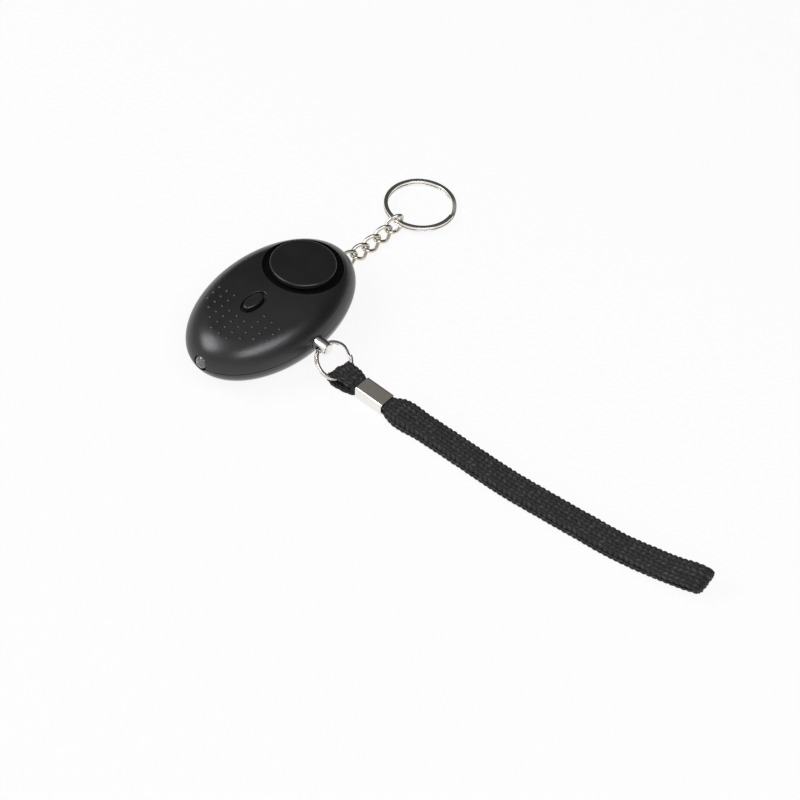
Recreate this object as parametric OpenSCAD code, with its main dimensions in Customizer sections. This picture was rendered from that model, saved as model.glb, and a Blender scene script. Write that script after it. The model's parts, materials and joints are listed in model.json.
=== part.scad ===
// Personal safety alarm: a pebble shaped case that fits the palm, with a siren under a round cap,
// a torch at the tip, a pull pin on a wrist strap, and a key ring on a short curb chain.
// +X runs from the torch tip to the chain end, the pull pin leaves toward -Y, and +Z is up.
// The origin is the middle of the flat that the case lies on. All sizes are in millimetres.

/* [Case] */
// Length of the case, torch tip to chain end
case_l = 65.4; // [64:0.2:68]
// Width of the case
case_w = 42; // [41:0.2:44]
// Height of the part line above the underside
base_h = 10; // [9.8:0.1:10.6]
// Height of the crown above the part line
top_h = 10; // [9.8:0.1:10.6]
// Thickness of the shell walls
wall = 1.6; // [1.4:0.05:1.7]
// Radius of the crown across the width
crown_r = 62; // [58:1:70]
// Radius of the underside across the width
belly_r = 60; // [56:1:66]
// How deep the flat cuts into the underside
flat_cut = 0.7; // [0.5:0.05:0.9]
// Height of the shadow gap along the part line
reveal_h = 0.25; // [0.15:0.05:0.4]
// Depth of the shadow gap along the part line
reveal_d = 0.6; // [0.4:0.05:0.8]
// Height of the lip that locates the two shells
lip_h = 1.2; // [0.8:0.1:1.6]
// Thickness of the lip
lip_t = 0.8; // [0.6:0.05:0.9]

/* [Siren] */
// Distance of the siren from the middle of the case
siren_x = 15.2; // [14.8:0.1:15.6]
// Lean of the siren toward the chain end, in degrees
siren_tilt = 6.5; // [5.5:0.25:7.5]
// Diameter of the siren cap
cap_d = 21.6; // [21:0.1:22.4]
// Thickness of the siren cap
cap_t = 1.6; // [1.2:0.1:1.8]
// How far the siren cap stands above the crown
cap_proud = 0.4; // [0.2:0.05:0.6]
// Diameter of the round pocket that the cap stands in
pocket_d = 26.4; // [25.8:0.1:27]
// Depth of the pocket floor below the top of the cap
pocket_depth = 3; // [2.8:0.05:3.2]
// Diameter of the foot under the cap
cap_foot_d = 13.6; // [12.6:0.2:14]
// Number of sound ports under the rim of the cap
port_count = 10; // [8:1:12]
// Diameter of each sound port
port_d = 2; // [1.6:0.1:2.2]
// Diameter of the brass disc of the sounder
piezo_d = 20; // [19.6:0.1:20.4]
// Thickness of the brass disc of the sounder
piezo_t = 0.25; // [0.2:0.05:0.3]
// Diameter of the ceramic on the brass disc
ceramic_d = 14; // [12:0.5:15]

/* [Torch] */
// Diameter of the torch lamp
lamp_d = 5; // [4.8:0.1:5.2]
// Height of the lamp above the part line
lamp_rise = 1; // [0.8:0.1:1.4]
// How far the lamp stands out of the tip
lamp_proud = 0.5; // [0.3:0.1:0.8]
// Length of the lamp
lamp_l = 8.6; // [8.2:0.1:9]
// Distance of the torch button from the middle of the case, toward the tip
button_x = -7.7; // [-8.2:0.1:-7.2]
// Length of the torch button
button_l = 8.1; // [7.6:0.1:8.6]
// Width of the torch button
button_w = 4.1; // [3.8:0.1:4.4]
// How far the torch button stands above the crown
button_proud = 0.8; // [0.6:0.05:1]
// Length of the moat round the torch button
moat_l = 10.3; // [10:0.1:10.8]
// Width of the moat round the torch button
moat_w = 5.8; // [5.6:0.1:6.2]
// Depth of the moat round the torch button
moat_depth = 1.4; // [1.1:0.05:1.6]

/* [Grip] */
// Diameter of a grip dot
dot_d = 0.8; // [0.6:0.05:1]
// Height of a grip dot
dot_h = 0.25; // [0.15:0.05:0.35]
// Spacing of the dots along the case
dot_step_x = 2.75; // [2.5:0.05:2.9]
// Spacing of the dots across the case
dot_step_y = 3.3; // [3:0.05:3.4]

/* [Pull pin] */
// Diameter of the pin head
pin_d = 4.6; // [4.2:0.1:4.8]
// Diameter of the pin's inner shaft
shaft_d = 2.3; // [2:0.1:2.5]
// How far the pin head stands out of the case
pin_out = 4.6; // [4.2:0.1:5]
// Outer diameter of the small split ring
pin_ring_d = 12.9; // [12.5:0.1:13.3]
// Slope of the small split ring below the level, in degrees
pin_ring_slope = 35; // [33:0.5:36]

/* [Wrist strap] */
// Length of the crimped ferrule
ferrule_l = 11; // [10:0.2:11.4]
// Width of the crimped ferrule
ferrule_w = 6.6; // [6.4:0.1:7.2]
// Height of the crimped ferrule
ferrule_h = 4.9; // [4.8:0.1:5]
// Sheet thickness of the crimped ferrule
ferrule_t = 0.5; // [0.3:0.05:0.55]

/* [Chain] */
// Wire diameter of the curb chain
link_wire = 1.25; // [1.1:0.05:1.35]
// Outer length of a link
link_l = 8.4; // [8:0.1:8.8]
// Outer width of a link
link_w = 5.5; // [5.4:0.1:5.8]
// Diameter of the pin that anchors the chain
anchor_d = 1.6; // [1.4:0.1:1.8]
// Outer diameter of the key ring
key_ring_d = 24.4; // [23:0.2:26]
// Radial width of the key ring's wire
key_wire_w = 1.4; // [1.2:0.05:1.5]
// Height of one coil of the key ring
key_wire_h = 0.75; // [0.65:0.05:0.8]

/* [Hidden] */
$fn = 64;
// Facets round the case
fine = 128;

// Colours
black_abs = [0.13, 0.13, 0.13];
nickel = [0.78, 0.77, 0.74];
brass = [0.80, 0.66, 0.36];
steel = [0.70, 0.71, 0.72];
strap_black = [0.06, 0.06, 0.06];

// Clearances
slide_gap = 0.15; // round a piece that slides
seat_gap = 0.05;  // between a piece and the seat that it rests on
fit_gap = 0.1;    // round a piece that is set in place
open = 1;         // how far a cut runs past the face that it opens
shoulder_cross = 0.05; // crown and shoulder meet at a slight angle

// Case
half_l = case_l / 2;
half_w = case_w / 2;
part_z = base_h;
stretch = half_l / half_w;
belly_h = base_h + flat_cut;
lip_gap = 0.25;
lip_root = 2;
lip_r = half_w - wall - lip_gap;

function shoulder_r(h, rc) =
    (half_w ^ 2 + (h - rc) ^ 2 - rc ^ 2) / (2 * (half_w - rc)) + shoulder_cross;
function plan_r(x, y) = sqrt((x / stretch) ^ 2 + y ^ 2);
// Height of the crown over a point of the plan
function crown_z(x, y) = part_z + top_h - crown_r + sqrt(crown_r ^ 2 - plan_r(x, y) ^ 2);

// Siren, in its own leaning frame with zero at the top of the cap
siren_z = crown_z(siren_x, 0) + cap_proud;
siren_floor_t = 1.2;
siren_wall = 1.4;
chamber_h = 0.5;
piezo_top = -pocket_depth - siren_floor_t - chamber_h;
piezo_seat_d = piezo_d + 2 * fit_gap;
chamber_d = piezo_d - 0.8;
siren_block_end = piezo_top - 0.8;
ceramic_t = 0.25;
port_r = (cap_foot_d + port_d) / 2 + 0.3;
peg_d = 1.8;
peg_r = 4;
peg_count = 3;

// Circuit board
board_t = 1.2;
board_z = part_z - 4;
board_top = board_z + board_t;
board_x0 = -23;
board_x1 = 7.5;
board_w = 18;
board_r = 2;
tab_x = 5;
tab_y = -15.5;
post_d = 4;
post_x = -18;
post_y = 6;
rest_x = 5.2;
rest_y = -6.8;
board_screw_d = 1.6;
board_screw_z = wall + 0.6;

// Pieces on the circuit board
chip_x = -13.4;
chip_y = -4.6;
transistor_x = -13.5;
transistor_y = 5;
coil_x = 3.2;
coil_y = 4.4;
coil_d = 6;
coil_h = 5;
coil_flange = 0.8;
coil_wound_d = coil_d - 0.6;
sounder_wire_d = 0.8;
sounder_wire_x = board_x1 - 0.9;
sounder_wire_y = [-2.2, -4.2];

// Torch button and its switch
button_top = crown_z(button_x, 0) + button_proud;
guide_z = crown_z(button_x, 0) - 3.4;
guide_rim = 1.1;
flange_t = 1;
flange_rim = 1.2;
flange_top = guide_z - seat_gap;
flange_z = flange_top - flange_t;
tact_w = 6;
tact_h = 3.5;
plunger_d = 3.5;
plunger_top = flange_z - seat_gap;
plunger_root = 1;

// Grip dots, from the column next to the tip
dot_x = -23.4;
dot_columns = 6;
dot_rows = 4;
dot_button_column = 4;

// Lamp
lamp_z = part_z + lamp_rise;
lamp_tip = -half_l - lamp_proud;
lamp_end = lamp_tip + lamp_l;
lamp_flange_d = lamp_d + 0.8;
lamp_flange_t = 1;
lead_d = 0.5;
lead_y = 1.27;
lead_bend = 1.2;
lead_x = lamp_end + 3;
lead_tail = 0.8;

// Case screws
screw_at = [[-15, 12.5], [-15, -12.5], [17, 12.2], [17, -12.2]];
screw_d = 2;
screw_l = 8.4;
screw_head_d = 3.8;
screw_head_h = 1.4;
// Depth of the seat of a screw head below the part line
screw_sink = 5.4;
screw_seat = base_h - screw_sink;
screw_tip = screw_seat + screw_l;
screw_boss_d = 5.4;
// Cross recess in a screw head
recess_l = 2.2;
recess_w = 0.5;
recess_h = 0.8;

// Button cells, stacked across the case
cell_d = 11.6;
cell_t = 5.4;
cell_cap_d = 9.2;
cell_count = 3;
cell_x = 14.5;
cell_z = wall + 0.7 + cell_d / 2;
stack = cell_count * cell_t;
contact_t = 0.3;
contact_dimple = 0.6;
contact_w = 9;
contact_h = 8;
contact_face = stack / 2 + contact_dimple;
rib_t = 1.2;
rib_w = 12;
rib_y = contact_face + contact_t + rib_t / 2;
rib_h = 6.5;

// Pull pin
pin_x = -0.6;
pin_z = part_z + 0.3;
// Depths below the side of the case, of the tip of the pin and of the end of its head
pin_tip_in = 10;
pin_step_in = 3.1;
pin_tip = pin_tip_in - half_w;
pin_step = pin_step_in - half_w;
pin_end = -half_w - pin_out;
eye_d = 2.6;
eye_y = pin_end + 2.4;
ring_wire_w = 0.9;
ring_wire_h = 0.7;
coil_gap = 0.44;
ring_pitch = ring_wire_h + coil_gap;
ring_jog = 20;
ring_r = (pin_ring_d - ring_wire_w) / 2;
// The wire bows within the eye, so its middle sits off the axis of the eye
eye_bow = 0.23;
ring_span = 2 * ring_r - eye_bow;
ring_far = [
    pin_x,
    eye_y - ring_span * cos(pin_ring_slope),
    pin_z - ring_span * sin(pin_ring_slope)
];
block_x = 8;
// Length of the pin switch block, and its depth below the side of the case
block_l = 8;
block_in = 3.4;
block_y0 = block_in - half_w;
block_y1 = block_y0 + block_l;
block_wall = 1.4;
block_h = 2 * (pin_z - board_top);
leaf_t = 0.25;
leaf_below = 0.6;
leaf_slot = leaf_t + 2 * fit_gap;

// Chain
link_a = (link_l - link_wire) / 2;
link_b = (link_w - link_wire) / 2;
link_play = 0.3;
link_pitch = 2 * link_a - link_wire - link_play;
link_count = 6;
anchor_x = half_l - 2.2;
anchor_z = part_z - 1.4;
anchor_l = 7;
slot_w = link_wire + 1.2;
slot_x0 = anchor_x - 3.2;
slot_z0 = 2.4;
slot_z1 = part_z + 2.6;
cheek_t = 2.6;
// Turn of a link's plane about the chain, and how much its ends twist either way
first_turn = 90;
curb_turn = 45;
curb_twist = 45;
link_rings = 32;
link_sides = 8;

// How high the top of a curb link's loop stands over its middle, as a share of its half width
link_lift = max([for (t = [0 : 180]) sin(t) * sin(curb_turn + curb_twist * cos(t))]);
link_rest = link_lift * link_b + link_wire / 2 + seat_gap;
// Slope of each link below the level, from the case on: the second one takes up what is left of
// the drop from the anchor to the table, and the last one rises to the key ring
first_reach = link_a - (anchor_d + link_wire) / 2 - fit_gap;
first_slope = 46;
third_slope = 9;
last_slope = -12;
link_drop = anchor_z - link_rest
    - (first_reach + link_pitch / 2) * sin(first_slope)
    - link_pitch * sin(third_slope);
link_slope = [first_slope, asin(link_drop / link_pitch), third_slope, 0, 0, last_slope];

function along(slope) = [cos(slope), 0, -sin(slope)];
// Where each link starts: the first round the anchor, the next ones in the link before
function link_mid(i) = i == 0
    ? [anchor_x, 0, anchor_z] + first_reach * along(link_slope[0])
    : link_mid(i - 1)
        + link_pitch / 2 * (along(link_slope[i - 1]) + along(link_slope[i]));

// Key ring, propped on the last link
key_r = (key_ring_d - key_wire_w) / 2;
key_pitch = key_wire_h + coil_gap;
key_play = 1.1;
key_near = link_mid(link_count - 1)
    + (link_a - link_wire / 2 - key_play - key_wire_w / 2) * along(link_slope[link_count - 1]);
key_jog = -33;
// The far side of the ring lies on the table
key_rest = key_wire_h + coil_gap / 2 + seat_gap;
key_tilt = asin((key_near[2] - key_rest) / (2 * key_r + key_wire_w / 2));

// Wrist strap: points chosen along the flat braid, each with its width and thickness.
// It starts and ends inside the ferrule, goes round the small ring and out to the fold.
ferrule_y = -45;
ferrule_z = ferrule_h / 2 + seat_gap;
ferrule_r = 0.9;
ply_in = 0.98;
ply_end = 0.5;
strap_w = 7;
strap_t = 1.9;
crimp_w = 5.2;
crimp_t = 1.6;
loop_w = 5.2;
loop_t = 1.8;
loop_r = 2.45;
loop_turn = 110;
loop_steps = 10;
ply_low = strap_t / 2 + 2 * seat_gap;
ply_high = ply_low + 2.6;
// The upper ply lifts toward the fold
fold_start = -128;
fold_y = -165;
fold_lift = 1.85;
strap_plan = [
    [0.2, -54], [0.5, -60], [1.2, -72], [2.5, -86], [4, -100], [5.4, -114],
    [6.8, fold_start], [8.4, -142], [10.3, -155], [12, fold_y]
];
strap_fold = [
    [12.7, -169, 1.25], [13.1, -171, 2.2], [13.2, -171.6, 3.5], [13.1, -171, 4.8], [12.7, -169, 5.6]
];
function fold_share(y) = max(0, (fold_start - y) / (fold_start - fold_y));
strap_in = [
    [0, ferrule_y + ply_end, ferrule_z + ply_in, crimp_w, crimp_t],
    [0, -39.6, ferrule_z + ply_in, crimp_w, crimp_t],
    [-0.3, -36.6, 4.9, loop_w, loop_t]
];
strap_round = [
    for (k = [0 : loop_steps])
        let (turn = loop_turn * (1 - 2 * k / loop_steps))
        [
            ring_far[0],
            ring_far[1] + loop_r * cos(turn),
            ring_far[2] + loop_r * sin(turn),
            loop_w,
            loop_t
        ]
];
strap_crimp = [
    [-0.3, -36.8, 1.2, loop_w, loop_t],
    [0, -39.8, ferrule_z - ply_in, crimp_w, crimp_t],
    [0, ferrule_y, ferrule_z - ply_in, crimp_w, crimp_t],
    [0, -50.3, ferrule_z - ply_in, crimp_w, crimp_t]
];
strap_lower = [for (p = strap_plan) [p[0], p[1], ply_low, strap_w, strap_t]];
strap_end = [for (p = strap_fold) [p[0], p[1], p[2], strap_w, strap_t]];
strap_upper = [
    for (i = [len(strap_plan) - 1 : -1 : 0])
        let (p = strap_plan[i])
        [p[0], p[1], ply_high + fold_lift * fold_share(p[1]) ^ 2, strap_w, strap_t]
];
strap_back = [
    [0, -50.3, ferrule_z + ply_in, crimp_w, crimp_t],
    [0, ferrule_y - ply_end, ferrule_z + ply_in, crimp_w, crimp_t]
];
strap_route = concat(
    strap_in, strap_round, strap_crimp, strap_lower, strap_end, strap_upper, strap_back
);
strap_sides = 10;
// Below 1 the section of the braid is a rounded rectangle
strap_square = 0.5;

// Swept bodies
function unit(v) = v / norm(v);

// Side faces between rings of equal size, as triangles, with end caps unless the sweep is closed
function band_faces(rings, sides, closed) = [
    for (i = [0 : rings - (closed ? 1 : 2)], j = [0 : sides - 1])
        let (
            a = i * sides + j,
            b = i * sides + (j + 1) % sides,
            c = ((i + 1) % rings) * sides + (j + 1) % sides,
            d = ((i + 1) % rings) * sides + j
        )
        each [[a, b, c], [a, c, d]]
];
function cap_faces(rings, sides) = concat(
    [for (j = [1 : sides - 2]) [0, j + 1, j]],
    [for (j = [1 : sides - 2])
        let (k = (rings - 1) * sides)
        [k, k + j, k + j + 1]]
);

// Twisted link: an oval loop whose plane turns along its length
function link_plane(t, turn, twist) = turn + twist * cos(t);
function link_point(t, turn, twist) =
    let (p = link_plane(t, turn, twist))
    [link_a * cos(t), link_b * sin(t) * cos(p), link_b * sin(t) * sin(p)];
function link_ring(t, turn, twist) =
    let (
        step = 1,
        tangent = unit(link_point(t + step, turn, twist) - link_point(t - step, turn, twist)),
        p = link_plane(t, turn, twist),
        side = unit(cross(tangent, [0, -sin(p), cos(p)])),
        up = cross(side, tangent)
    )
    [for (j = [0 : link_sides - 1])
        let (q = 360 * (j + 0.5) / link_sides)
        link_point(t, turn, twist) + link_wire / 2 * (cos(q) * side + sin(q) * up)];

module link_body(turn, twist) {
    points = [
        for (i = [0 : link_rings - 1])
            each link_ring(360 * i / link_rings, turn, twist)
    ];
    polyhedron(points, band_faces(link_rings, link_sides, true));
}

module chain_link(i) {
    color(nickel)
        translate(link_mid(i))
            rotate([0, link_slope[i], 0])
                link_body(i == 0 ? first_turn : curb_turn, i == 0 ? 0 : curb_twist);
}

// Split ring: a flat wire that goes round nearly twice and steps up one coil before it meets itself
split_turn = 672;
split_jog_start = 316;
split_jog_end = 352;
split_step = 8;
function ease(u) = u <= 0 ? 0 : u >= 1 ? 1 : u * u * (3 - 2 * u);
function split_rise(t) = ease((t - split_jog_start) / (split_jog_end - split_jog_start));
function split_mid(t, r, pitch) = [r * cos(t), r * sin(t), pitch * (split_rise(t) - 0.5)];
function split_section(t, r, pitch, w, h) = [
    for (q = [[-1, -1], [1, -1], [1, 1], [-1, 1]])
        split_mid(t, r, pitch) + [q[0] * w / 2 * cos(t), q[0] * w / 2 * sin(t), q[1] * h / 2]
];
function split_gap(r, pitch, h) = min([
    for (t = [0 : split_step : split_turn - 360])
        norm(split_mid(t + 360, r, pitch) - split_mid(t, r, pitch)) - h
]);

module split_ring(r, pitch, w, h, jog) {
    rings = split_turn / split_step + 1;
    points = [
        for (i = [0 : rings - 1])
            each split_section(i * split_step, r, pitch, w, h)
    ];
    rotate(jog - split_jog_end)
        polyhedron(points, concat(band_faces(rings, 4, false), cap_faces(rings, 4)));
}

// Flat braid swept along its route, always level across its width
function strap_ring(i) =
    let (
        n = len(strap_route),
        here = strap_route[i],
        before = strap_route[max(i - 1, 0)],
        after = strap_route[min(i + 1, n - 1)],
        run = [for (k = [0 : 2]) after[k] - before[k]],
        tangent = unit(run),
        across = unit([1, 0, 0] - tangent[0] * tangent),
        up = cross(across, tangent),
        mid = [here[0], here[1], here[2]]
    )
    [for (j = [0 : strap_sides - 1])
        let (q = 360 * (j + 0.5) / strap_sides)
        mid
            + here[3] / 2 * sign(cos(q)) * abs(cos(q)) ^ strap_square * across
            + here[4] / 2 * sign(sin(q)) * abs(sin(q)) ^ strap_square * up];

echo(key_ring_gap = split_gap(key_r, key_pitch, key_wire_h));
echo(pin_ring_gap = split_gap(ring_r, ring_pitch, ring_wire_h));

// A full turn made in parts, which stay accurate when they are stretched to an oval
module turned(parts = 2) {
    for (k = [0 : parts - 1])
        rotate_extrude(angle = 360 / parts, start = 360 / parts * k)
            children();
}

// Half of the case as one body: a crown and a shoulder turned about Z and stretched to length.
// inset moves the whole surface inward.
module half_profile(inset, h, rc) {
    rs = shoulder_r(h, rc);
    mid_r = half_w - rs;
    intersection() {
        translate([0, h - rc])
            circle(r = rc - inset);
        union() {
            translate([mid_r, 0])
                circle(r = rs - inset);
            square([mid_r * (rc - inset) / (rc - rs), h + open]);
        }
        square([half_w + open, h + open]);
    }
}

module half_body(inset, h, rc) {
    scale([(half_l - inset) / (half_w - inset), 1, 1])
        turned($fn = fine)
            half_profile(inset, h, rc);
}

module upper_body(inset) {
    translate([0, 0, part_z])
        half_body(inset, top_h, crown_r);
}

module lower_body(inset, floor_z) {
    difference() {
        translate([0, 0, part_z])
            mirror([0, 0, 1])
                half_body(inset, belly_h, belly_r);
        translate([-case_l, -case_w, floor_z - base_h])
            cube([2 * case_l, 2 * case_w, base_h]);
    }
}

// Upright disc or ring that follows the oval of the case
module oval(r, h) {
    scale([(r + half_l - half_w) / r, 1, 1])
        turned()
            square([r, h]);
}

module oval_post(l, w, h) {
    scale([l / w, 1, 1])
        turned(4)
            square([w / 2, h]);
}

module on_siren() {
    translate([siren_x, 0, siren_z])
        rotate([0, siren_tilt, 0])
            children();
}

module siren_disc(d, z0, z1) {
    on_siren()
        translate([0, 0, z0])
            cylinder(d = d, h = z1 - z0);
}

module at_screws() {
    for (p = screw_at)
        translate([p[0], p[1], 0])
            children();
}

// Cuts that both shells share
module lamp_hole() {
    translate([lamp_tip - open, 0, lamp_z])
        rotate([0, 90, 0])
            cylinder(d = lamp_d + 2 * fit_gap, h = lamp_proud + open + wall + lip_t + lip_gap + open);
}

module pin_hole() {
    translate([pin_x, -half_w - open, pin_z])
        rotate([-90, 0, 0])
            cylinder(d = pin_d + 2 * slide_gap, h = open + wall + lip_t + lip_gap + open);
}

module chain_slot() {
    translate([slot_x0, -slot_w / 2, slot_z0])
        cube([half_l - slot_x0 + open, slot_w, slot_z1 - slot_z0]);
}

module chain_cheeks(z0, z1) {
    w = slot_w + 2 * cheek_t;
    translate([slot_x0 - wall, -w / 2, z0])
        cube([half_l - slot_x0, w, z1 - z0]);
}

// Rows of raised dots that widen from the tip and leave room for the torch button
module grip_dots() {
    intersection() {
        difference() {
            upper_body(-dot_h);
            upper_body(wall / 2);
        }
        for (i = [0 : dot_columns - 1], j = [-dot_rows : dot_rows])
            if (abs(j) <= i + 1 && (i < dot_button_column || abs(j) > 1))
                translate([dot_x + dot_step_x * i, dot_step_y * j, part_z])
                    cylinder(d = dot_d, h = 2 * top_h, $fn = 16);
    }
}

module top_shell() {
    color(black_abs) {
        grip_dots();
        bare_top_shell();
    }
}

module bare_top_shell() {
    difference() {
        upper_body(0);
        difference() {
            upper_body(wall);
            siren_disc(pocket_d + 2 * siren_wall, siren_block_end, 0);
            translate([button_x, 0, guide_z])
                oval_post(moat_l + 2 * guide_rim, moat_w + 2 * guide_rim, top_h);
            at_screws()
                translate([0, 0, part_z])
                    cylinder(d = screw_boss_d, h = top_h);
            chain_cheeks(part_z, slot_z1 + wall);
        }
        difference() {
            translate([0, 0, part_z - open])
                oval(half_w + open, reveal_h + open);
            translate([0, 0, part_z - 2 * open])
                oval(half_w - reveal_d, reveal_h + 4 * open);
        }
        siren_disc(pocket_d, -pocket_depth, top_h);
        siren_disc(chamber_d, piezo_top - open / 4, -pocket_depth - siren_floor_t);
        siren_disc(piezo_seat_d, siren_block_end - top_h / 4, piezo_top);
        on_siren()
            for (k = [0 : port_count - 1])
                rotate(360 * k / port_count)
                    translate([port_r, 0, -pocket_depth - siren_floor_t - open / 4])
                        cylinder(d = port_d, h = siren_floor_t + open / 2);
        on_siren()
            for (k = [0 : peg_count - 1])
                rotate(360 * k / peg_count)
                    translate([peg_r, 0, -pocket_depth - siren_floor_t - open / 4])
                        cylinder(d = peg_d + 2 * fit_gap, h = siren_floor_t + open / 2);
        translate([button_x, 0, crown_z(button_x, 0) - moat_depth])
            oval_post(moat_l, moat_w, top_h);
        translate([button_x, 0, guide_z - open])
            oval_post(button_l + 2 * slide_gap, button_w + 2 * slide_gap, top_h);
        at_screws()
            translate([0, 0, part_z - open])
                cylinder(d = screw_d + 2 * seat_gap, h = screw_tip + seat_gap + open - part_z);
        lamp_hole();
        pin_hole();
        chain_slot();
    }
}

module bottom_shell() {
    color(black_abs)
        difference() {
            union() {
                difference() {
                    lower_body(0, 0);
                    difference() {
                        lower_body(wall, wall);
                        difference() {
                            translate([0, 0, part_z - lip_root])
                                oval(half_w, lip_root);
                            translate([0, 0, part_z - lip_root - open])
                                oval(lip_r - lip_t, lip_root + 2 * open);
                        }
                        at_screws()
                            cylinder(d = screw_boss_d, h = part_z);
                        for (s = [-1, 1])
                            translate([cell_x - rib_w / 2, s * rib_y - rib_t / 2, 0])
                                cube([rib_w, rib_t, wall + rib_h]);
                        for (s = [-1, 1])
                            translate([post_x, s * post_y, 0])
                                cylinder(d = post_d, h = board_z);
                        translate([rest_x, rest_y, 0])
                            cylinder(d = post_d, h = board_z);
                        chain_cheeks(0, part_z);
                    }
                }
                difference() {
                    translate([0, 0, part_z - lip_root / 2])
                        oval(lip_r, lip_root / 2 + lip_h);
                    translate([0, 0, part_z - lip_root])
                        oval(lip_r - lip_t, 2 * lip_root + lip_h);
                    at_screws()
                        translate([0, 0, part_z])
                            cylinder(d = screw_boss_d + 2 * lip_gap, h = 2 * lip_h);
                    chain_cheeks(part_z, slot_z1 + wall);
                }
            }
            at_screws()
                translate([0, 0, -open])
                    cylinder(d = screw_d + 2 * fit_gap, h = part_z + lip_h + 2 * open);
            at_screws()
                translate([0, 0, -open])
                    cylinder(d = screw_head_d + 4 * fit_gap, h = screw_seat + open);
            for (s = [-1, 1])
                translate([post_x, s * post_y, wall])
                    cylinder(d = board_screw_d + 2 * seat_gap, h = board_z);
            translate([anchor_x - anchor_d / 2 - seat_gap, -anchor_l / 2 - fit_gap, anchor_z])
                cube([anchor_d + 2 * seat_gap, anchor_l + 2 * fit_gap, part_z]);
            translate([anchor_x, anchor_l / 2 + fit_gap, anchor_z])
                rotate([90, 0, 0])
                    cylinder(d = anchor_d + 2 * seat_gap, h = anchor_l + 2 * fit_gap);
            lamp_hole();
            pin_hole();
            chain_slot();
        }
}

module speaker_cap() {
    edge_r = 0.5;
    color(black_abs)
        on_siren() {
            rotate_extrude()
                union() {
                    translate([0, -cap_t])
                        square([cap_d / 2, cap_t - edge_r]);
                    translate([0, -edge_r - open / 10])
                        square([cap_d / 2 - edge_r, edge_r + open / 10]);
                    translate([cap_d / 2 - edge_r, -edge_r])
                        circle(r = edge_r);
                    translate([0, -pocket_depth])
                        square([cap_foot_d / 2, pocket_depth - cap_t / 2]);
                }
            for (k = [0 : peg_count - 1])
                rotate(360 * k / peg_count)
                    translate([peg_r, 0, -pocket_depth - siren_floor_t])
                        cylinder(d = peg_d, h = siren_floor_t + cap_t / 2);
        }
}

module case_screws() {
    color(steel)
        at_screws()
            translate([0, 0, screw_seat]) {
                cylinder(d = screw_d, h = screw_l);
                difference() {
                    translate([0, 0, -screw_head_h])
                        cylinder(d = screw_head_d, h = screw_head_h);
                    for (turn = [0, 90])
                        rotate(turn)
                            translate([-recess_l / 2, -recess_w / 2, -screw_head_h - open])
                                cube([recess_l, recess_w, open + recess_h]);
                }
            }
}

module torch_button() {
    edge_r = 0.45;
    color(black_abs)
        translate([button_x, 0, 0]) {
            scale([button_l / button_w, 1, 1])
                turned()
                    union() {
                        translate([0, flange_z + flange_t / 2])
                            square([button_w / 2, button_top - edge_r - flange_z - flange_t / 2]);
                        translate([0, button_top - 2 * edge_r])
                            square([button_w / 2 - edge_r, 2 * edge_r]);
                        translate([button_w / 2 - edge_r, button_top - edge_r])
                            circle(r = edge_r);
                    }
            translate([0, 0, flange_z])
                oval_post(button_l + 2 * flange_rim, button_w + 2 * flange_rim, flange_t);
        }
}

module tact_switch() {
    color([0.10, 0.10, 0.11])
        difference() {
            translate([button_x - tact_w / 2, -tact_w / 2, board_top])
                cube([tact_w, tact_w, tact_h]);
            translate([button_x, 0, board_top + tact_h - plunger_root - slide_gap])
                cylinder(d = plunger_d + 2 * slide_gap, h = tact_h);
        }
}

module tact_plunger() {
    travel_room = 0.6;
    color([0.12, 0.12, 0.12])
        translate([button_x, 0, board_top + tact_h - plunger_root + travel_room])
            cylinder(d = plunger_d, h = plunger_top - board_top - tact_h + plunger_root - travel_room);
}

module led_lens() {
    color([0.92, 0.94, 0.96])
        translate([lamp_tip, 0, lamp_z])
            rotate([0, 90, 0]) {
                translate([0, 0, lamp_d / 2]) {
                    sphere(d = lamp_d);
                    cylinder(d = lamp_d, h = lamp_l - lamp_d / 2);
                }
                translate([0, 0, lamp_l - lamp_flange_t])
                    cylinder(d = lamp_flange_d, h = lamp_flange_t);
            }
}

module led_leads() {
    color(steel)
        for (s = [-1, 1])
            translate([0, s * lead_y, 0]) {
                translate([lamp_end, 0, lamp_z])
                    rotate([0, 90, 0])
                        cylinder(d = lead_d, h = lead_x - lead_bend - lamp_end);
                translate([lead_x - lead_bend, 0, lamp_z - lead_bend])
                    rotate([90, 0, 0])
                        rotate_extrude(angle = 90)
                            translate([lead_bend, 0])
                                circle(d = lead_d);
                translate([lead_x, 0, board_z - lead_tail])
                    cylinder(d = lead_d, h = lamp_z - lead_bend - board_z + lead_tail);
            }
}

module circuit_board() {
    color([0.10, 0.32, 0.16])
        difference() {
            translate([0, 0, board_z])
                linear_extrude(board_t)
                    union() {
                        translate([board_x0 + board_r, -board_w / 2])
                            square([board_x1 - board_x0 - board_r, board_w]);
                        translate([board_x0, -board_w / 2 + board_r])
                            square([board_r * 2, board_w - 2 * board_r]);
                        for (s = [-1, 1])
                            translate([board_x0 + board_r, s * (board_w / 2 - board_r)])
                                circle(r = board_r);
                        translate([pin_x - tab_x, tab_y])
                            square([2 * tab_x, -tab_y]);
                    }
            for (s = [-1, 1])
                translate([post_x, s * post_y, board_z - open])
                    cylinder(d = board_screw_d + 2 * fit_gap, h = board_t + 2 * open);
            for (s = [-1, 1])
                translate([lead_x, s * lead_y, board_z - open])
                    cylinder(d = lead_d + 2 * fit_gap, h = board_t + 2 * open);
        }
}

module board_screws() {
    color(steel)
        for (s = [-1, 1])
            translate([post_x, s * post_y, 0]) {
                translate([0, 0, board_screw_z])
                    cylinder(d = board_screw_d, h = board_top - board_screw_z);
                translate([0, 0, board_top])
                    cylinder(d = 2 * board_screw_d, h = board_screw_d / 2);
            }
}

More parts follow.
